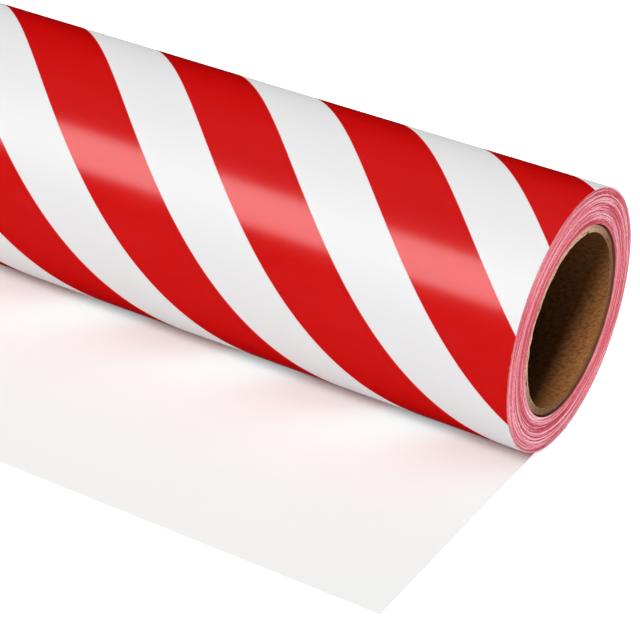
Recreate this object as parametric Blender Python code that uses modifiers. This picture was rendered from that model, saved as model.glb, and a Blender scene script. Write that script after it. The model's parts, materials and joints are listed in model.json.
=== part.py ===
"""Gift wrap on a spiral-wound board core, lying on a table with its free end pulled out.

The sheet is one web of printed paper. It is tacked to the core, wound round it, and leaves the
roll along the bottom: the free leaf lies on the table towards -Y with its printed side down.
Because a rigid body can't unroll, the web is divided where its motion changes: the wound turns
and the outer turn go round with the core, the lift-off bend travels with the roll without
turning, and the free leaf stays on the table.

Frame, in metres: X along the roll, +Z up, and the origin on the table under the roll's axis.
"""

import math

import bpy

# The web of paper
SHEET_WIDTH = 0.432          # 17 in
SHEET_LENGTH = 10.0          # 33 ft
LAYER_PITCH = 0.000125       # what one turn adds to the radius, trapped air included
LEAF_REACH = 0.074           # from the line of contact to the free leaf's front edge
LEAF_SHIFT = -0.0015         # how far the leaf has wandered along the roll

# The board core
CORE_BORE_RADIUS = 0.01905   # 1 1/2 in bore
CORE_WALL = 0.0015
CORE_RECESS = 0.0007         # how far each end of the core stands back from the paper's edge
PLY_COUNT = 3
PLY_GAP = 0.00015            # glue line between two plies
PLY_STRIP_WIDTH = 0.0762     # 3 in kraft strip, measured square to its edges
PLY_SEAM = 0.0006            # open butt joint between neighbouring turns of a strip

# Clearances and the thin solids that stand for single layers of paper
LAYER_SOLID = 0.0003
LEAF_SOLID = 0.0002
BEND_SOLID = 0.0002
RUNNING_GAP = 0.0002
TAPE_GAP = 0.00015
ROLL_LIFT = 0.00035          # the outer turn's lowest line above the table
LEAF_TUCK = 0.004            # how far the flat leaf runs on behind the line of contact

# The lift-off bend and the outer turn, as angles from the roll's lowest line towards +Y
BEND_START = math.radians(9.0)
BEND_END = math.radians(25.0)
BEND_GAP = 0.00015
OUTER_TURN_START = math.radians(1.0)
OUTER_TURN_END = math.radians(359.0)

# The tape that tacks the sheet's inner end to the core
TAPE_WIDTH = 0.012
TAPE_THICKNESS = 0.00015
TAPE_INSET = 0.006           # from the ends of the core
TAPE_ANGLE = math.radians(120.0)

RING_STEPS = 72
PLY_STEPS = 36
MERGE_DISTANCE = 0.00001

CORE_RADIUS = CORE_BORE_RADIUS + CORE_WALL
WOUND_AREA = (SHEET_LENGTH - LEAF_REACH) * LAYER_PITCH
ROLL_RADIUS = math.sqrt(CORE_RADIUS ** 2 + WOUND_AREA / math.pi)
AXIS_HEIGHT = ROLL_RADIUS + ROLL_LIFT
CORE_LENGTH = SHEET_WIDTH - 2 * CORE_RECESS

KRAFT = (0.38, 0.24, 0.12)
KRAFT_DARK = (0.30, 0.18, 0.09)
PRINT_RED = (0.60, 0.004, 0.002)
EDGE_PINK = (0.74, 0.20, 0.21)
PAPER_WHITE = (0.86, 0.85, 0.84)
TAPE_CLEAR = (0.80, 0.78, 0.70)


def clear_scene():
    """Start from an empty scene."""
    for obj in list(bpy.data.objects):
        bpy.data.objects.remove(obj, do_unlink=True)


def new_collection(name):
    """Add a collection to the scene."""
    collection = bpy.data.collections.new(name)
    bpy.context.scene.collection.children.link(collection)
    return collection


def new_material(name, color, roughness):
    """Make a plain Principled material."""
    material = bpy.data.materials.new(name)
    material.use_nodes = True
    shader = material.node_tree.nodes["Principled BSDF"]
    shader.inputs["Base Color"].default_value = (*color, 1.0)
    shader.inputs["Roughness"].default_value = roughness
    shader.inputs["Metallic"].default_value = 0.0
    return material


def new_object(name, verts, edges, faces, collection, parent=None):
    """Make a mesh object from a few points, in its parent's frame."""
    mesh = bpy.data.meshes.new(name)
    mesh.from_pydata(verts, edges, faces)
    obj = bpy.data.objects.new(name, mesh)
    collection.objects.link(obj)
    obj.parent = parent
    return obj


def add_screw(obj, sweep, steps, pitch=0.0, turns=1, merge=False):
    """Sweep a profile about the object's Z axis, rising by the pitch in each sweep."""
    screw = obj.modifiers.new("sweep", 'SCREW')
    screw.axis = 'Z'
    screw.angle = sweep
    screw.steps = steps
    screw.render_steps = steps
    screw.iterations = turns
    screw.screw_offset = pitch
    screw.use_merge_vertices = merge
    screw.merge_threshold = MERGE_DISTANCE
    screw.use_smooth_shade = True


def add_thickness(obj, thickness):
    """Thicken a surface inwards, so that its own radius stays the outer one."""
    solidify = obj.modifiers.new("thickness", 'SOLIDIFY')
    solidify.thickness = thickness
    solidify.offset = -1.0
    solidify.use_even_offset = True


def turned_ring(name, outer, inner, width, collection, parent):
    """Make a plain tube centred on the axis."""
    half = width / 2
    profile = [(outer, 0, half), (outer, 0, -half), (inner, 0, -half), (inner, 0, half)]
    loop = [(0, 1), (1, 2), (2, 3), (3, 0)]
    ring = new_object(name, profile, loop, [], collection, parent)
    add_screw(ring, math.tau, RING_STEPS, merge=True)
    return ring


def rolled_strip(name, outer, thickness, width, start, end, collection, parent):
    """Make a strip of sheet bent round the axis between two angles."""
    half = width / 2
    line = [(outer, 0, half), (outer, 0, -half)]
    strip = new_object(name, line, [(0, 1)], [], collection, parent)
    strip.rotation_euler = (0, 0, start)
    steps = max(4, round(RING_STEPS * (end - start) / math.tau))
    add_screw(strip, end - start, steps)
    add_thickness(strip, thickness)
    return strip


def winding_pitch(radius):
    """Return how far a strip of the ply's width advances in one turn at a radius."""
    girth = math.tau * radius
    return PLY_STRIP_WIDTH * girth / math.sqrt(girth ** 2 - PLY_STRIP_WIDTH ** 2)


def core_ply(name, index, collection, cutter, parent):
    """Wind one ply: a helical strip that overruns the core's ends, then is cut flat."""
    ply_thickness = (CORE_WALL - (PLY_COUNT - 1) * PLY_GAP) / PLY_COUNT
    outer = CORE_BORE_RADIUS + index * (ply_thickness + PLY_GAP) + ply_thickness
    pitch = winding_pitch(CORE_BORE_RADIUS + CORE_WALL / 2)
    turns = math.ceil(CORE_LENGTH / pitch) + 2
    low = -turns * pitch / 2 - pitch / 2
    line = [(outer, 0, low + pitch - PLY_SEAM), (outer, 0, low)]
    ply = new_object(name, line, [(0, 1)], [], collection, parent)
    ply.rotation_euler = (0, 0, math.tau * index / PLY_COUNT)
    add_screw(ply, math.tau, PLY_STEPS, pitch=pitch, turns=turns)
    add_thickness(ply, ply_thickness)
    trim = ply.modifiers.new("cut_ends", 'BOOLEAN')
    trim.operation = 'INTERSECT'
    trim.solver = 'EXACT'
    trim.object = cutter
    return ply


def core_length_cutter(collection, parent):
    """Make the block whose ends are the core's two saw cuts."""
    bpy.ops.mesh.primitive_cube_add(size=1.0)
    cutter = bpy.context.object
    cutter.name = "core_length_cutter"
    cutter.scale = (4 * CORE_RADIUS, 4 * CORE_RADIUS, CORE_LENGTH)
    bpy.ops.object.transform_apply(location=False, rotation=False, scale=True)
    for owner in list(cutter.users_collection):
        owner.objects.unlink(cutter)
    collection.objects.link(cutter)
    cutter.parent = parent
    cutter.hide_render = True
    cutter.display_type = 'WIRE'
    return cutter


def free_leaf(collection):
    """Make the flat part of the sheet, from its front edge to just behind the contact line."""
    bpy.ops.mesh.primitive_cube_add(size=1.0)
    leaf = bpy.context.object
    leaf.name = "free_leaf"
    leaf.scale = (SHEET_WIDTH, LEAF_REACH + LEAF_TUCK, LEAF_SOLID)
    leaf.location = (LEAF_SHIFT, (LEAF_TUCK - LEAF_REACH) / 2, LEAF_SOLID / 2)
    bpy.ops.object.transform_apply(location=False, rotation=False, scale=True)
    for owner in list(leaf.users_collection):
        owner.objects.unlink(leaf)
    collection.objects.link(leaf)
    return leaf


def new_axis(collection):
    """Add the empty on the roll's axis. Its Z is the world's X and its X points down."""
    axis = bpy.data.objects.new("roll_axis", None)
    axis.location = (0, 0, AXIS_HEIGHT)
    axis.rotation_euler = (0, math.pi / 2, 0)
    collection.objects.link(axis)
    return axis


def main():
    """Build the roll."""
    clear_scene()
    parts = new_collection("wrapping_paper_roll")
    cutters = new_collection("cutters")
    axis = new_axis(parts)

    kraft = new_material("kraft_board", KRAFT, 0.85)
    kraft_dark = new_material("kraft_board_middle", KRAFT_DARK, 0.9)
    printed = new_material("printed_paper", PRINT_RED, 0.3)
    edges = new_material("paper_edges", EDGE_PINK, 0.8)
    plain = new_material("paper_back", PAPER_WHITE, 0.6)
    tape = new_material("tape", TAPE_CLEAR, 0.4)

    cutter = core_length_cutter(cutters, axis)
    ply_names = ["core_inner_ply", "core_middle_ply", "core_outer_ply"]
    ply_materials = [kraft, kraft_dark, kraft]
    for index, (name, material) in enumerate(zip(ply_names, ply_materials)):
        ply = core_ply(name, index, parts, cutter, axis)
        ply.data.materials.append(material)

    tape_outer = CORE_RADIUS + TAPE_GAP + TAPE_THICKNESS
    tape_length = CORE_LENGTH - 2 * TAPE_INSET
    tape_end = TAPE_ANGLE + TAPE_WIDTH / tape_outer
    start_tape = rolled_strip(
        "start_tape", tape_outer, TAPE_THICKNESS, tape_length, TAPE_ANGLE, tape_end, parts, axis)
    start_tape.data.materials.append(tape)

    wound_outer = ROLL_RADIUS - LAYER_SOLID - RUNNING_GAP
    wound_inner = tape_outer + TAPE_GAP
    wound = turned_ring("wound_paper", wound_outer, wound_inner, SHEET_WIDTH, parts, axis)
    wound.data.materials.append(edges)

    outer_turn = rolled_strip(
        "outer_turn", ROLL_RADIUS, LAYER_SOLID, SHEET_WIDTH,
        OUTER_TURN_START, OUTER_TURN_END, parts, axis)
    outer_turn.data.materials.append(printed)

    bend = rolled_strip(
        "lift_off_bend", ROLL_RADIUS + BEND_GAP + BEND_SOLID, BEND_SOLID, SHEET_WIDTH,
        BEND_START, BEND_END, parts, axis)
    bend.location = (0, 0, LEAF_SHIFT / 2)
    bend.data.materials.append(printed)

    leaf = free_leaf(parts)
    leaf.data.materials.append(plain)


main()
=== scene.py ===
"""Looks of a roll of striped gift wrap on a board core, lying on its own pulled-out end.

The sheet is one web of paper. Each of its points stores its place on that web: how far along the
roll it is, how far it is from the sheet's front edge, and which turn it is in, counted from the
core. The print is worked out from that place, so it runs on from the flat leaf to the outer turn.
The core's plies store their places on their own strips in the same way.
"""
import json
import math

import bpy
import numpy as np
from mathutils import Matrix, Vector


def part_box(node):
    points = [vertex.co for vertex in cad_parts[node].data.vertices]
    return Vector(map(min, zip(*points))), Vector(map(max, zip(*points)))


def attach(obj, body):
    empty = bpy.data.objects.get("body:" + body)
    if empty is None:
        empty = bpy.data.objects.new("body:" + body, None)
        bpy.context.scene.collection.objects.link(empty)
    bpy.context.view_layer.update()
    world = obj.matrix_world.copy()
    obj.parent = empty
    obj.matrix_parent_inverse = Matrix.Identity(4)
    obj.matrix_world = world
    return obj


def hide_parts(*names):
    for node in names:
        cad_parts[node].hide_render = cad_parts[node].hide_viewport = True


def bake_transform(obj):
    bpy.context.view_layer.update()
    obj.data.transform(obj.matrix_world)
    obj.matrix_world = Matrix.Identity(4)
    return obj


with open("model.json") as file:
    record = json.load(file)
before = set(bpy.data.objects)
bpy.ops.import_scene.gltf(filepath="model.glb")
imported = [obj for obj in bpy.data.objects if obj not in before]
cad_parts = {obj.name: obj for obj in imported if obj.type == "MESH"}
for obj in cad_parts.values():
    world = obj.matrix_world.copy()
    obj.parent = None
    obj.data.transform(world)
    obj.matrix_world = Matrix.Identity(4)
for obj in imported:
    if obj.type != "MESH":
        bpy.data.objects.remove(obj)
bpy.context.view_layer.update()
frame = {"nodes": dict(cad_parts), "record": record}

JOINTS = {joint["name"]: joint for joint in frame["record"]["behaviour"]["joints"]}

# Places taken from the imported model, in metres like every length here
AXIS_HEIGHT = JOINTS["roll_spin"]["pos_m"][2]


def farthest(node):
    """Return how far a node reaches from the roll's axis."""
    points = (vertex.co for vertex in frame["nodes"][node].data.vertices)
    return max(math.hypot(point.y, point.z - AXIS_HEIGHT) for point in points)


CORE_RADIUS = farthest("core_outer_ply")
TAPE_RADIUS = farthest("start_tape")
HALF_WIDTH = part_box("wound_paper")[1].x
LEAF_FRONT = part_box("free_leaf")[0].y
LEAF_SHIFT = (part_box("free_leaf")[0].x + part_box("free_leaf")[1].x) / 2

# The sheet
PAPER = 0.0001               # its thickness
SHEET_LENGTH = 10.0
TAPE_CLEARANCE = 0.00003
ROLL_RADIUS = AXIS_HEIGHT - PAPER
INNER_RADIUS = TAPE_RADIUS + TAPE_CLEARANCE
LEAF_REACH = -LEAF_FRONT
WOUND_LENGTH = SHEET_LENGTH - LEAF_REACH
TURNS = WOUND_LENGTH / (math.pi * (ROLL_RADIUS + INNER_RADIUS))
STEPS_PER_TURN = 120
BEND_ANGLE = math.radians(8)
SHIFT_SPAN = 0.006           # the leaf's shift dies out over this length at the line of contact

# The air in the winding. Some lies in wide gaps after a few of the turns, which divide the
# winding into groups, and the rest lies between single turns.
WIDE_GAPS = np.array([4.2, 9.6, 15.1, 22.3, 27.4, 34.8, 40.3, 47.1, 52.4, 58.2])
COUNTED_TURNS = 63.5         # the number of turns that WIDE_GAPS is meant for
WIDE_GAP_SHARE = 0.65        # of all the air
WIDE_GAP_WAVE = 0.85         # how much a wide gap's width varies round the roll
WIDE_GAP_RISE = 0.5          # in turns

# How far groups of turns, single turns and the waves in a turn stand off along the roll
GROUP_DRIFT = 0.0003
TURN_DRIFT = 0.00007
WAVE_DRIFT = 0.0001
DRIFT_FADE = 3.0             # the last turns, in which the drift dies out

# Faint ripples in the outer turn: height, length over 2 pi, and how far they wander
LONG_RIPPLE = (0.000012, 0.017, 2)
SHORT_RIPPLE = (0.00001, 0.0061, 3)

# The print
STRIPE_PERIOD = 0.04084      # along the roll
STRIPE_SLOPE = 1.0305        # how far a stripe moves along the roll over a length of the sheet
STRIPE_PHASE = 0.2565        # in periods
STRIPE_SHARE = 0.529         # how much of a period is red
STRIPE_EDGE = 0.0003
STRIPE_WOBBLE = 0.0001

# How far the print strays in front, in roll radii. It is a square form in away and lean, which
# askew explains, and follows the edges of the stripes in the photo.
STRAY = 0.008
STRAY_BY_AWAY = 0.214
STRAY_BY_AWAY_TWICE = 0.559
STRAY_BY_AWAY_AND_LEAN = -0.151
STRAY_BY_LEAN_TWICE = 0.058
AWAY_SPAN = 9 * ROLL_RADIUS
AWAY_LIMIT = -0.75
LEAN_LOWEST = -1.1
LEAN_HIGHEST = 0.1
BACK_SPAN = 2.48             # radians of the back that the photo doesn't show
BACK_START = 0.02            # as a share of that span

# The stain of ink dust near the edges of the wound turns: where it is full and where it ends
STAIN_FULL = 0.0005
STAIN_END = 0.0012

# The core's plies
CORE_BORE = 0.01905          # its radius
CORE_RECESS = 0.0003
HALF_CORE = HALF_WIDTH - CORE_RECESS
PLY_COUNT = 3
PLY_STRIP = 0.0762           # the strip's width, square to its edges
PLY_SEAM = 0.0004
PLY_CLEARANCE = 0.00001
PLY_TIP = 0.0008             # how wide a strip's pointed ends are where they are cut off
PLY_FUZZ = 0.00005
PLY_STEPS = 120
PLY_COLUMNS = np.array([0, 0.004, 0.02, 0.1, 0.5, 0.9, 0.98, 0.996, 1])     # of its width

SHARP_ANGLE = math.radians(60)
SEED = 7


def polar(radius, angle):
    """Return y and z at a radius and an angle from the roll's lowest line towards +Y."""
    return radius * np.sin(angle), AXIS_HEIGHT - radius * np.cos(angle)


def stacked(x, y, z):
    """Return a grid of points, shape (rows, columns, 3), from coordinates that broadcast."""
    return np.stack(np.broadcast_arrays(x, y, z), axis=2)


def smooth_noise(rng, count):
    """Return a periodic function of an angle, about -1 to 1, made of a few random waves."""
    waves = [(k, rng.uniform(0, math.tau), 1.0 / k) for k in range(1, count + 1)]
    total = sum(weight for _, _, weight in waves)
    return lambda angle: sum(w * np.sin(k * angle + p) for k, p, w in waves) / total


def shell(name, front, back, place, materials, map_tops=(0.46, 0.94)):
    """Close two matching grids of points into one thin solid.

    front and back have the shape (rows, columns, 3). Material 0 goes on the front, 1 on the back
    and 2 on the four edges. place holds each point's place on the sheet, and map_tops says how far
    up the export's texture the front and the back reach.
    """
    rows, columns = front.shape[:2]
    points = np.concatenate([front.reshape(-1, 3), back.reshape(-1, 3)])
    grid = np.arange(rows * columns).reshape(rows, columns)
    under = grid + rows * columns

    def quads(a, b, c, d):
        return np.stack([a.ravel(), b.ravel(), c.ravel(), d.ravel()], axis=1)

    def cells(g, flip):
        a, b, c, d = g[:-1, :-1], g[1:, :-1], g[1:, 1:], g[:-1, 1:]
        return quads(a, d, c, b) if flip else quads(a, b, c, d)

    def rim(top, bottom):
        return quads(top[:-1], bottom[:-1], bottom[1:], top[1:])

    faces = [
        cells(grid, False),
        cells(under, True),
        rim(grid[:, 0], under[:, 0]),
        rim(grid[::-1, -1], under[::-1, -1]),
        rim(grid[0, ::-1], under[0, ::-1]),
        rim(grid[-1, :], under[-1, :]),
    ]
    sides = np.repeat(np.arange(6), [len(f) for f in faces])
    faces = np.concatenate(faces)
    mesh = bpy.data.meshes.new(name)
    mesh.from_pydata(points.tolist(), [], faces.tolist())
    mesh.polygons.foreach_set("material_index", np.minimum(sides, 2).astype(np.int32))
    mesh.polygons.foreach_set("use_smooth", sides < 2)
    mesh.set_sharp_from_angle(angle=SHARP_ANGLE)
    stored = mesh.attributes.new("sheet", "FLOAT_VECTOR", "POINT")
    both = np.concatenate([place.reshape(-1, 3), place.reshape(-1, 3)])
    stored.data.foreach_set("vector", both.astype(np.float32).ravel())
    for material in materials:
        mesh.materials.append(material)

    # The map that the export bakes through: a box for each face, a strip for each edge
    layer, spot = np.divmod(faces, rows * columns)
    row, column = np.divmod(spot, columns)
    side = sides[:, None]
    across = np.where((side == 2) | (side == 3), row / (rows - 1), column / (columns - 1))
    up = np.where(side < 2, row / (rows - 1), layer)
    strips = 0.950 + 0.013 * np.arange(4)
    low = np.array([0.0, map_tops[0] + 0.02, *strips])[side]
    high = np.array([*map_tops, *(strips + 0.010)])[side]
    places = np.stack([0.002 + 0.996 * across, low + (high - low) * up], axis=2)
    mesh.uv_layers.new(name="OFBake").uv.foreach_set("vector", places.astype(np.float32).ravel())

    obj = bpy.data.objects.new(name, mesh)
    bpy.context.scene.collection.objects.link(obj)
    return obj


def lay_ends_flat(obj, disc_radius=0.24, disc_height=0.72):
    """Show both ends of the winding as two discs, side by side, in the export's texture."""
    mesh = obj.data
    places = mesh.uv_layers["OFBake"].uv
    scale = disc_radius / ROLL_RADIUS
    for face in mesh.polygons:
        if abs(face.normal.x) > 0.7:
            middle = 0.5 - math.copysign(0.25, face.normal.x)
            for corner in face.loop_indices:
                _, y, z = mesh.vertices[mesh.loops[corner].vertex_index].co
                place = (middle + y * scale, disc_height + (z - AXIS_HEIGHT) * scale)
                places[corner].vector = place


# ---- materials -------------------------------------------------------------------------------


def rgb(red, green, blue):
    """Return an opaque colour."""
    return (red, green, blue, 1.0)


# Pairs are the darkest and the lightest tone
RED_INK = (rgb(0.66, 0.0006, 0.0004), rgb(0.72, 0.0012, 0.0008))
FRONT_WHITE = (rgb(0.85, 0.845, 0.85), rgb(0.88, 0.875, 0.88))
BACK_WHITE = (rgb(0.80, 0.805, 0.80), rgb(0.82, 0.825, 0.82))
PINK = rgb(0.80, 0.20, 0.25)
PINK_LIGHT = rgb(0.95, 0.58, 0.64)
PINK_DARK = rgb(0.46, 0.05, 0.09)
# Painted shade in the core's recess, on the backs of the innermost turns
RECESS_SHADE_BROWN = rgb(0.20, 0.07, 0.04)
# Painted shade: the board's faces are far darker than the board's own brown, so that the bore
# looks shaded deep inside
KRAFT_DARKENED_FOR_SHADE = (rgb(0.105, 0.034, 0.008), rgb(0.19, 0.088, 0.033))
CUT_TAN = (rgb(0.34, 0.17, 0.09), rgb(0.80, 0.53, 0.36))
# The sawn ends' painted shade, low on the roll's back
CUT_SHADE_BROWN = (rgb(0.09, 0.04, 0.02), rgb(0.24, 0.12, 0.065))
TAPE = (rgb(0.70, 0.66, 0.55), rgb(0.80, 0.77, 0.68))
TABLE_WHITE = (rgb(0.86, 0.86, 0.86), rgb(0.88, 0.88, 0.88))
WHITE = rgb(1.0, 1.0, 1.0)


class Tree:
    """The node tree of a material or a world, with short ways to add nodes."""

    def __init__(self, owner):
        self.owner = owner
        self.nodes = owner.node_tree.nodes
        self.links = owner.node_tree.links
        self.shader = self.nodes.get("Principled BSDF")

    def put(self, socket, value):
        """Link an output to a socket, or set the socket to a plain value."""
        if isinstance(value, bpy.types.NodeSocket):
            self.links.new(value, socket)
        elif value is not None:
            socket.default_value = value

    def math(self, operation, a, b=None, c=None):
        node = self.nodes.new("ShaderNodeMath")
        node.operation = operation
        for socket, value in zip(node.inputs, (a, b, c)):
            self.put(socket, value)
        return node.outputs[0]

    def line(self, value, factor, offset):
        """Return value * factor + offset."""
        return self.math('MULTIPLY_ADD', value, factor, offset)

    def scale(self, value, low, high):
        """Map 0 to 1 onto low to high."""
        return self.line(value, high - low, low)

    def clamp(self, value, low, high):
        return self.math('MINIMUM', self.math('MAXIMUM', value, low), high)

    def step(self, value, low, high):
        """Rise smoothly from 0 at low to 1 at high."""
        node = self.nodes.new("ShaderNodeMapRange")
        node.interpolation_type = 'SMOOTHSTEP'
        for key, number in zip(("Value", "From Min", "From Max"), (value, low, high)):
            self.put(node.inputs[key], number)
        return node.outputs[0]

    def mix(self, factor, a, b):
        node = self.nodes.new("ShaderNodeMix")
        node.data_type = 'RGBA'
        color_a, color_b, result = node.inputs[6], node.inputs[7], node.outputs[2]
        self.put(node.inputs["Factor"], factor)
        self.put(color_a, a)
        self.put(color_b, b)
        return result

    def noise(self, vector, scale, detail=2.0, roughness=0.5):
        node = self.nodes.new("ShaderNodeTexNoise")
        self.put(node.inputs["Vector"], vector)
        node.inputs["Scale"].default_value = scale
        node.inputs["Detail"].default_value = detail
        node.inputs["Roughness"].default_value = roughness
        return node.outputs[0]

    def sheet_place(self):
        """Return the stored place on the sheet or on the ply's strip."""
        node = self.nodes.new("ShaderNodeAttribute")
        node.attribute_name = "sheet"
        return node.outputs["Vector"]

    def coordinates(self, kind="Object"):
        return self.nodes.new("ShaderNodeTexCoord").outputs[kind]

    def seen_by_camera(self):
        """Return 1 for the camera's own rays and 0 for all others."""
        return self.nodes.new("ShaderNodeLightPath").outputs["Is Camera Ray"]

    def split(self, vector):
        node = self.nodes.new("ShaderNodeSeparateXYZ")
        self.put(node.inputs[0], vector)
        return node.outputs

    def join(self, x, y, z):
        node = self.nodes.new("ShaderNodeCombineXYZ")
        for socket, value in zip(node.inputs, (x, y, z)):
            self.put(socket, value)
        return node.outputs[0]

    def bump(self, height, strength, distance):
        node = self.nodes.new("ShaderNodeBump")
        node.inputs["Strength"].default_value = strength
        node.inputs["Distance"].default_value = distance
        self.put(node.inputs["Height"], height)
        self.links.new(node.outputs[0], self.shader.inputs["Normal"])

    def finish(self, color, roughness, specular):
        """Set the shader and return the material."""
        self.put(self.shader.inputs["Base Color"], color)
        self.put(self.shader.inputs["Roughness"], roughness)
        self.shader.inputs["Specular IOR Level"].default_value = specular
        return self.owner


def new_material(name):
    """Return the tree of a new Principled material."""
    material = bpy.data.materials.new(name)
    material.use_nodes = True
    return Tree(material)


def askew(tree, along, down):
    """Return how far the print strays along the roll, because the sheet isn't wound quite true.

    away is how far a point is from the roll's right end, in AWAY_SPAN and negative. lean is half
    the point's angle from the top, negative in front. Round the back of the outer turn, which the
    photo doesn't show, the stripes also slant a little more, so that they meet where the turn
    closes and no seam shows when the roll moves.
    """
    angle = tree.math('MULTIPLY', tree.math('SUBTRACT', down, LEAF_REACH), 1 / ROLL_RADIUS)
    back = tree.clamp(tree.line(angle, 1 / BACK_SPAN, -BACK_START), 0.0, 1.0)
    away = tree.clamp(tree.line(along, 1 / AWAY_SPAN, -HALF_WIDTH / AWAY_SPAN), AWAY_LIMIT, 0.0)
    lean = tree.math('MAXIMUM', tree.line(angle, -0.5, math.pi / 2), LEAN_LOWEST)
    lean = tree.math('MINIMUM', lean, tree.scale(back, LEAN_LOWEST, LEAN_HIGHEST))
    slope = tree.line(away, STRAY_BY_AWAY_TWICE, STRAY_BY_AWAY)
    slope = tree.line(lean, STRAY_BY_AWAY_AND_LEAN, slope)
    stray = tree.line(tree.math('MULTIPLY', lean, lean), STRAY_BY_LEAN_TWICE, STRAY)
    stray = tree.math('MULTIPLY', tree.line(away, slope, stray), ROLL_RADIUS)
    in_a_turn = STRIPE_SLOPE * math.tau * ROLL_RADIUS
    closing = math.ceil(in_a_turn / STRIPE_PERIOD) * STRIPE_PERIOD - in_a_turn
    return tree.line(tree.math('SUBTRACT', 1.0, back), closing, stray)


def stripes(tree, place):
    """Return 1 on the red stripes and 0 on the white ones, from the place on the sheet."""
    along, down, _ = tree.split(place)
    slanted = tree.line(down, -STRIPE_SLOPE, along)
    slanted = tree.math('ADD', slanted, askew(tree, along, down))
    slanted = tree.line(tree.noise(place, 900.0, 1.0), STRIPE_WOBBLE, slanted)
    periods = tree.line(slanted, 1 / STRIPE_PERIOD, STRIPE_PHASE - STRIPE_SHARE / 2)
    centred = tree.math('FRACT', tree.math('ADD', periods, 0.5))
    off_centre = tree.math('ABSOLUTE', tree.math('SUBTRACT', centred, 0.5))
    half_edge = STRIPE_EDGE / STRIPE_PERIOD / 2
    return tree.step(off_centre, STRIPE_SHARE / 2 + half_edge, STRIPE_SHARE / 2 - half_edge)


def ink_dust(tree, place):
    """Return 1 near the edges of the wound turns, which ink dust has stained.

    The outer turn stays clean.
    """
    along, _, turn = tree.split(place)
    from_middle = tree.math('ABSOLUTE', along)
    near = tree.step(from_middle, HALF_WIDTH - STAIN_END, HALF_WIDTH - STAIN_FULL)
    return tree.math('MULTIPLY', near, tree.step(turn, TURNS - 0.9, TURNS - 1.1))


def printed_paper():
    """Glossy red ink in stripes on smooth white paper."""
    tree = new_material("printed_paper")
    place = tree.sheet_place()
    inked = stripes(tree, place)
    mottle = tree.noise(place, 60.0, 3.0)
    grain = tree.noise(place, 2200.0, 2.0)
    red = tree.mix(mottle, *RED_INK)
    white = tree.mix(grain, *FRONT_WHITE)
    color = tree.mix(inked, white, red)
    color = tree.mix(ink_dust(tree, place), color, PINK)
    rough = tree.line(mottle, 0.05, tree.line(inked, -0.40, 0.58))
    fibre = tree.line(grain, 0.25, tree.noise(place, 500.0, 2.0))
    tree.bump(fibre, 0.25, 0.00002)
    return tree.finish(color, rough, 0.5)


def plain_back():
    """The unprinted side: bright white, faintly cloudy, and dark brown on the innermost turns as
    painted shade in the core's recess.
    """
    tree = new_material("paper_back")
    place = tree.sheet_place()
    turn = tree.split(place)[2]
    cloud = tree.noise(place, 35.0, 4.0)
    grain = tree.noise(place, 1800.0, 3.0)
    white = tree.mix(cloud, *BACK_WHITE)
    color = tree.mix(ink_dust(tree, place), white, PINK)
    # Painted shade: the innermost turns go dark brown, where the recess by the core is shaded
    color = tree.mix(tree.step(turn, 3.0, 1.0), color, RECESS_SHADE_BROWN)
    tree.bump(grain, 0.3, 0.00003)
    return tree.finish(color, tree.scale(grain, 0.5, 0.62), 0.15)


def cut_edges():
    """The wound edges: white paper stained pink by the ink, a little different in each turn."""
    tree = new_material("paper_edges")
    turn = tree.split(tree.sheet_place())[2]
    _, y, z = tree.split(tree.coordinates())

    def streaks(turn, by_turn, by_place, detail):
        """Return noise drawn out along the turns."""
        place = tree.join(
            tree.math('MULTIPLY', turn, by_turn),
            tree.math('MULTIPLY', y, by_place),
            tree.math('MULTIPLY', z, by_place))
        return tree.noise(place, 1.0, detail, 0.6)

    wavy = tree.line(streaks(turn, 0.05, 400.0, 2.0), 3.0, turn)
    bands = streaks(wavy, 0.28, 35.0, 1.0)
    lines = streaks(wavy, 0.8, 90.0, 2.0)
    grain = streaks(wavy, 1.6, 2400.0, 2.0)
    tone = tree.math('MULTIPLY', bands, 0.45)
    tone = tree.line(lines, 0.32, tone)
    tone = tree.line(grain, 0.23, tone)
    pale = tree.mix(tree.step(tone, 0.485, 0.555), PINK, PINK_LIGHT)
    color = tree.mix(tree.step(tone, 0.49, 0.42), pale, PINK_DARK)
    return tree.finish(color, 0.8, 0.0)


def kraft_face():
    """The board's faces: brown, with short fibres laid along the strip. The brown is painted
    shade: far darker than the board's own tone, so that the bore looks shaded deep inside.
    """
    tree = new_material("kraft_face")
    place = tree.sheet_place()
    along, down, _ = tree.split(place)
    drawn_out = tree.join(along, tree.math('MULTIPLY', down, 0.5), 0.0)
    fibre = tree.noise(drawn_out, 2600.0, 4.0, 0.6)
    cloud = tree.noise(place, 1100.0, 4.0, 0.6)
    color = tree.mix(tree.step(fibre, 0.1, 0.8), *KRAFT_DARKENED_FOR_SHADE)
    color = tree.mix(tree.step(cloud, 0.42, 0.68), color, KRAFT_DARKENED_FOR_SHADE[0])
    tree.bump(fibre, 0.25, 0.00005)
    return tree.finish(color, tree.scale(fibre, 0.75, 0.95), 0.0)


def kraft_cut():
    """The board's sawn ends: tan and fuzzy, with painted shade that makes them browner low on the
    roll's back.
    """
    tree = new_material("kraft_cut")
    where = tree.coordinates()
    _, y, z = tree.split(where)
    fuzz = tree.noise(where, 3000.0, 3.0, 0.7)
    patch = tree.noise(where, 260.0, 2.0)
    # Painted shade: the sawn ends turn brown low on the roll's back
    low_and_back = tree.line(patch, 0.012, tree.math('SUBTRACT', y, z))
    painted_shade_low_back = tree.step(low_and_back, -0.045, -0.016)
    grain = tree.step(fuzz, 0.3, 0.6)
    color = tree.mix(painted_shade_low_back, tree.mix(grain, *CUT_TAN), tree.mix(grain, *CUT_SHADE_BROWN))
    tree.bump(fuzz, 0.4, 0.00005)
    return tree.finish(color, tree.scale(fuzz, 0.8, 0.95), 0.0)


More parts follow.
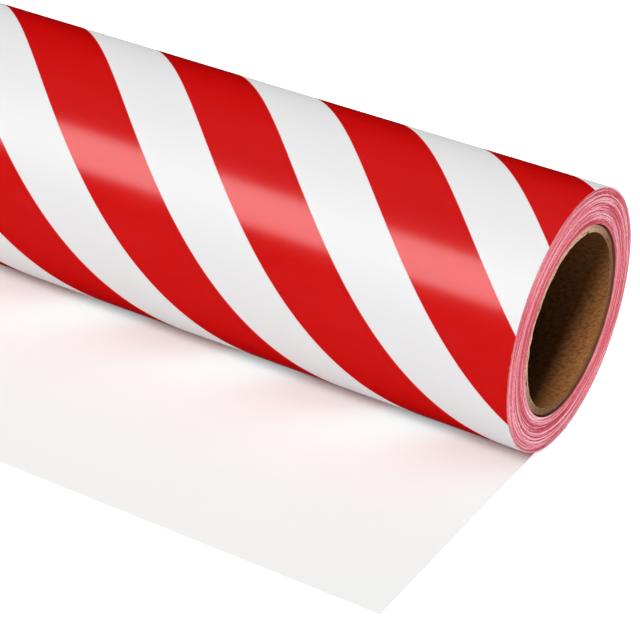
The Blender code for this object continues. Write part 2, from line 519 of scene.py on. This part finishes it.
def clear_tape():
    """Matte tape over the sheet's inner end."""
    tree = new_material("start_tape")
    grain = tree.noise(tree.coordinates(), 1200.0, 2.0)
    tree.bump(grain, 0.2, 0.00003)
    return tree.finish(tree.mix(grain, *TAPE), tree.scale(grain, 0.35, 0.5), 0.4)


# ---- the sheet -------------------------------------------------------------------------------


class Winding:
    """The spiral: its radius and its drift along the roll, by turns from the inner end."""

    def __init__(self):
        rng = np.random.default_rng(SEED)
        layers = int(TURNS) + 3
        self.slack = ROLL_RADIUS - INNER_RADIUS - PAPER * (TURNS + 1)
        self.bounds = WIDE_GAPS * TURNS / COUNTED_TURNS
        self.waves = [smooth_noise(rng, 4) for _ in self.bounds]
        self.weights = rng.uniform(0.5, 1.4, len(self.bounds))
        gaps = rng.uniform(0.15, 1.0, layers) ** 2
        self.single = np.concatenate([[0], np.cumsum(gaps)])
        self.single /= np.interp(TURNS, np.arange(layers + 1), self.single)
        groups = len(self.bounds) + 1
        self.group_drift = rng.uniform(-GROUP_DRIFT, GROUP_DRIFT, groups)
        self.turn_drift = rng.uniform(-TURN_DRIFT, TURN_DRIFT, layers + 1)
        self.drift_waves = [smooth_noise(rng, 3) for _ in range(groups)]

    def outside(self, turn):
        """Return the radius of the sheet's printed side."""
        angle = (TURNS - turn) * math.tau
        wide = np.zeros_like(turn)
        total = np.zeros_like(turn)
        for bound, wave, weight in zip(self.bounds, self.waves, self.weights):
            here = weight * (1.0 + WIDE_GAP_WAVE * wave(angle))
            rise = np.clip((turn - bound) / WIDE_GAP_RISE, 0, 1)
            wide += here * rise * rise * (3 - 2 * rise)
            total += here
        single = np.interp(turn, np.arange(len(self.single)), self.single)
        air = (1 - WIDE_GAP_SHARE) * single + WIDE_GAP_SHARE * wide / total
        return INNER_RADIUS + PAPER * (turn + 1) + self.slack * air

    def drift(self, turn):
        """Return how far the turn stands off along the roll. It dies out towards the outside."""
        angle = (TURNS - turn) * math.tau
        starts = np.concatenate([[0], self.bounds + WIDE_GAP_RISE / 2])
        group = np.interp(turn, starts, self.group_drift)
        single = np.interp(turn, np.arange(len(self.turn_drift)), self.turn_drift)
        wave = sum(w(angle) for w in self.drift_waves) / len(self.drift_waves)
        fade = np.clip((TURNS - turn) / DRIFT_FADE, 0, 1)
        return (group + single + WAVE_DRIFT * wave) * fade


def wound_layers(winding, materials):
    """Make the inner turns: one strip wound from the core out to the start of the outer turn."""
    steps = int(round((TURNS - 1) * STEPS_PER_TURN))
    turn = np.linspace(TURNS - 1, 0, steps + 1)
    angle = (TURNS - turn) * math.tau
    outer = winding.outside(turn)
    across = np.array([-HALF_WIDTH, HALF_WIDTH])
    x = across + winding.drift(turn)[:, None]
    lengths = np.hypot(np.diff(outer), np.diff(angle) * (outer[1:] + outer[:-1]) / 2)
    down = LEAF_REACH + np.concatenate([[0], np.cumsum(lengths)])
    down += math.tau * ROLL_RADIUS

    def grid(radius):
        y, z = polar(radius, angle)
        return stacked(x, y[:, None], z[:, None])

    place = stacked(across, down[:, None], turn[:, None])
    obj = shell("wound_layers", grid(outer), grid(outer - PAPER), place, materials,
                map_tops=(0.22, 0.46))
    lay_ends_flat(obj)
    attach(obj, "roll")
    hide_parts("wound_paper")
    return obj


def outer_turn(winding, materials):
    """Make the turn that shows, from the line of contact once round."""
    steps, columns = 180, 73
    angle = np.linspace(math.radians(1), math.tau, steps + 1)[:, None]
    turn = TURNS - angle / math.tau
    across = np.linspace(-HALF_WIDTH, HALF_WIDTH, columns)
    down = LEAF_REACH + angle * ROLL_RADIUS

    height, length, wander = LONG_RIPPLE
    ripple = height * np.sin(across / length + wander * np.sin(angle))
    height, length, wander = SHORT_RIPPLE
    ripple = ripple + height * np.sin(across / length + 1.3 + wander * np.cos(angle))
    away_from_table = np.sin(angle / 2) ** 2
    outer = winding.outside(turn) + ripple * away_from_table

    def grid(radius):
        return stacked(across, *polar(radius, angle))

    obj = shell("outer_turn_sheet", grid(outer), grid(outer - PAPER), stacked(across, down, turn),
                materials, map_tops=(0.84, 0.94))
    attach(obj, "roll")
    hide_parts("outer_turn")
    return obj


def leaf_sheet(materials):
    """Make the flat leaf, printed side down, with the start of its bend up the roll's back."""
    flat_rows, bend_rows, columns = 75, 9, 73
    across = np.linspace(-HALF_WIDTH, HALF_WIDTH, columns)
    flat_y = LEAF_FRONT * (1 - np.linspace(0, 1, flat_rows))
    bend = np.linspace(0, BEND_ANGLE, bend_rows)[1:]
    down = np.concatenate([flat_y - LEAF_FRONT, LEAF_REACH + bend * AXIS_HEIGHT])

    def side(radius, flat_z):
        """Return y and z of one side of the sheet, which has this radius in the bend."""
        bend_y, bend_z = polar(radius, bend)
        return np.concatenate([flat_y, bend_y]), np.concatenate([0 * flat_y + flat_z, bend_z])

    under_y, under_z = side(AXIS_HEIGHT, 0.0)
    top_y, top_z = side(AXIS_HEIGHT - PAPER, PAPER)
    shift = LEAF_SHIFT * np.clip((SHIFT_SPAN / 2 - under_y) / SHIFT_SPAN, 0, 1)
    x = across + shift[:, None]
    under = stacked(x, under_y[:, None], under_z[:, None])
    top = stacked(x, top_y[:, None], top_z[:, None])
    obj = shell("leaf_sheet", under, top, stacked(across, down[:, None], TURNS), materials)
    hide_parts("free_leaf", "lift_off_bend")
    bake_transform(obj)
    return obj


# ---- the core --------------------------------------------------------------------------------


def core_board(name, node, inner, outer, lead, materials, rng):
    """Wind one ply of board: a helical strip cut off flat at both ends of the core.

    lead is the angle at which the strip starts.
    """
    girth = math.tau * (CORE_BORE + CORE_RADIUS) / 2
    pitch = PLY_STRIP * girth / math.sqrt(girth ** 2 - PLY_STRIP ** 2)
    first = -HALF_CORE - pitch + PLY_SEAM + PLY_TIP
    turns = (2 * HALF_CORE + pitch - 2 * PLY_TIP) / pitch
    steps = int(turns * PLY_STEPS)
    wind = np.linspace(0, turns * math.tau, steps + 1)[:, None]
    left = first + pitch * wind / math.tau
    right = left + pitch - PLY_SEAM
    fuzz = rng.normal(0, PLY_FUZZ, (2, steps + 1, 1))
    low = np.maximum(left, -HALF_CORE + fuzz[0])
    high = np.minimum(right, HALF_CORE + fuzz[1])
    x = low + (high - low) * PLY_COLUMNS

    def grid(radius):
        return stacked(x, *polar(radius, wind + lead))

    place = stacked(x - left, wind * outer, lead)
    obj = shell(name, grid(outer), grid(inner), place, materials)
    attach(obj, "roll")
    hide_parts(node)
    return obj


def core():
    """Make the core's three plies, each touching the next."""
    rng = np.random.default_rng(SEED)
    wall = (CORE_RADIUS - CORE_BORE) / PLY_COUNT
    face, cut = kraft_face(), kraft_cut()
    boards = []
    for index, ply in enumerate(("inner", "middle", "outer")):
        inner = CORE_BORE + index * wall + (PLY_CLEARANCE if index else 0)
        outer = CORE_BORE + (index + 1) * wall
        lead = math.tau * index / PLY_COUNT
        boards.append(core_board(f"core_{ply}_board", f"core_{ply}_ply", inner, outer, lead,
                                 [face, face, cut], rng))
    return boards


# ---- stage -----------------------------------------------------------------------------------

# The camera, fitted to the outlines of the roll, its bore and the leaf. Angles are in degrees.
CAMERA_AZIMUTH = -29.4021
CAMERA_ELEVATION = 31.2324
CAMERA_TILT = 2.8288
CAMERA_ANGLE = 15.1586
CAMERA_DISTANCE = 17.0843 * ROLL_RADIUS
CAMERA_TARGET = Vector((HALF_WIDTH - 1.4863 * ROLL_RADIUS, -1.0177 * ROLL_RADIUS, AXIS_HEIGHT))

TABLE_SIZE = 8.0
TABLE_DROP = 0.0001
TABLE_GLOW = 0.7             # only the camera sees it


def add_camera():
    """Look along the roll from the front right and above."""
    azimuth, elevation, tilt = map(math.radians, (CAMERA_AZIMUTH, CAMERA_ELEVATION, CAMERA_TILT))
    level = math.cos(elevation)
    ahead = Vector((level * math.sin(azimuth), level * math.cos(azimuth), -math.sin(elevation)))
    side = ahead.cross(Vector((0, 0, 1))).normalized()
    up = side.cross(ahead)
    right = side * math.cos(tilt) + up * math.sin(tilt)
    top = up * math.cos(tilt) - side * math.sin(tilt)
    data = bpy.data.cameras.new("camera")
    data.angle = math.radians(CAMERA_ANGLE)
    camera = bpy.data.objects.new("camera", data)
    bpy.context.scene.collection.objects.link(camera)
    turn = Matrix((right, top, -ahead)).transposed().to_4x4()
    camera.matrix_world = Matrix.Translation(CAMERA_TARGET - ahead * CAMERA_DISTANCE) @ turn
    bpy.context.scene.camera = camera
    bpy.context.scene.view_settings.view_transform = 'Standard'


def add_table():
    """Lay a large white table under the sheet."""
    bpy.ops.mesh.primitive_plane_add(size=TABLE_SIZE, location=(0, 0, -TABLE_DROP))
    table = bpy.context.object
    table.name = "table"
    table.visible_glossy = False
    tree = new_material("table_white")
    cloud = tree.noise(tree.coordinates(), 3.0)
    glow = tree.math('MULTIPLY', tree.seen_by_camera(), TABLE_GLOW)
    tree.put(tree.shader.inputs["Emission Color"], WHITE)
    tree.put(tree.shader.inputs["Emission Strength"], glow)
    table.data.materials.append(tree.finish(tree.mix(cloud, *TABLE_WHITE), 0.9, 0.0))
    return table


def sky_light(ends, middle):
    """Hang a sky that is darker towards the roll's two ends, isn't mirrored and looks white."""
    world = bpy.data.worlds.new("studio")
    world.use_nodes = True
    world.cycles_visibility.glossy = False
    tree = Tree(world)
    sky = tree.nodes["Background"]
    sky.inputs["Color"].default_value = WHITE
    along = tree.split(tree.coordinates("Generated"))[0]
    across = tree.math('SUBTRACT', 1.0, tree.math('MULTIPLY', along, along))
    strength = tree.scale(tree.math('MULTIPLY', across, across), ends, middle)
    tree.put(sky.inputs["Strength"], tree.math('MAXIMUM', strength, tree.seen_by_camera()))
    bpy.context.scene.world = world


def area_light(name, lean, distance, size, radiance, along=0.0, mirrored=False):
    """Hang a light parallel to the roll, leaning by some degrees from overhead towards -Y.

    A mirrored one shows only in the gloss, and any other one only in the diffuse light.
    """
    data = bpy.data.lights.new(name, 'AREA')
    data.shape = 'RECTANGLE'
    data.size, data.size_y = size
    data.energy = radiance * math.pi * size[0] * size[1]
    light = bpy.data.objects.new(name, data)
    lean = math.radians(lean)
    light.location = (along, -distance * math.sin(lean), AXIS_HEIGHT + distance * math.cos(lean))
    light.rotation_euler = (lean, 0, 0)
    light.visible_glossy = mirrored
    light.visible_diffuse = not mirrored
    light.visible_camera = False
    bpy.context.scene.collection.objects.link(light)
    return light


def sun(name, towards, radiance, spread):
    """Add a far light, some degrees wide, that shines from a direction and isn't mirrored.

    radiance is what it gives a white surface that faces it.
    """
    data = bpy.data.lights.new(name, 'SUN')
    data.energy = radiance * math.pi
    data.angle = math.radians(spread)
    light = bpy.data.objects.new(name, data)
    light.rotation_euler = Vector(towards).to_track_quat('Z', 'Y').to_euler()
    light.visible_glossy = False
    bpy.context.scene.collection.objects.link(light)
    return light


def shine_on(receivers, light):
    """Let only some of the pieces receive a light."""
    lit = bpy.data.collections.new(f"lit_by_{light.name}")
    for receiver in receivers:
        lit.objects.link(receiver)
    light.light_linking.receiver_collection = lit


def add_lights(outer, wound, boards, leaf, table):
    """Light the roll evenly, as in the photo, with one long softbox in its gloss.

    The photo's light is flat and overexposed, so the leaf and the roll's ends have their own
    lights, and the leaf throws neither light nor shadow on the other pieces.
    """
    leaf.visible_diffuse = leaf.visible_shadow = leaf.visible_glossy = False
    sky_light(ends=0.03, middle=0.45)
    area_light("softbox", lean=49.0, distance=1.2, size=(3.2, 0.70), radiance=5.3, mirrored=True)
    dome = area_light("dome", lean=0.0, distance=1.5, size=(2.4, 8.0), radiance=0.87)
    key = area_light("key", lean=62.0, distance=1.5, size=(0.8, 1.2), radiance=1.75, along=0.45)
    shine_on([outer, wound, table], dome)
    shine_on([outer, wound, table], key)
    shine_on([table], sun("fill", towards=(0, -0.6, 0.8), radiance=0.22, spread=60))
    front = sun("front", towards=(0, -0.75, 0.66), radiance=1.2, spread=20)
    front.data.color = (0.975, 1.0, 1.0)
    shine_on([leaf], front)
    for name, end in (("right", 1), ("left", -1)):
        shine_on([wound], sun(f"{name}_end", (end, -0.25, 0.25), radiance=0.46, spread=30))
        shine_on(boards, sun(f"{name}_rim", (end, 0, 0), radiance=0.64, spread=4))
        shine_on(boards, sun(f"{name}_bore", (0.09 * end, -0.6, 0.8), radiance=1.95, spread=12))


def main():
    """Build the pieces and the stage."""
    printed, back, edges = printed_paper(), plain_back(), cut_edges()
    boards = core()
    winding = Winding()
    wound = wound_layers(winding, [printed, back, edges])
    outer = outer_turn(winding, [printed, back, edges])
    leaf = leaf_sheet([printed, back, back])
    tape = frame["nodes"]["start_tape"]
    tape.data.materials.clear()
    tape.data.materials.append(clear_tape())

    add_camera()
    table = add_table()
    add_lights(outer, wound, boards, leaf, table)


main()
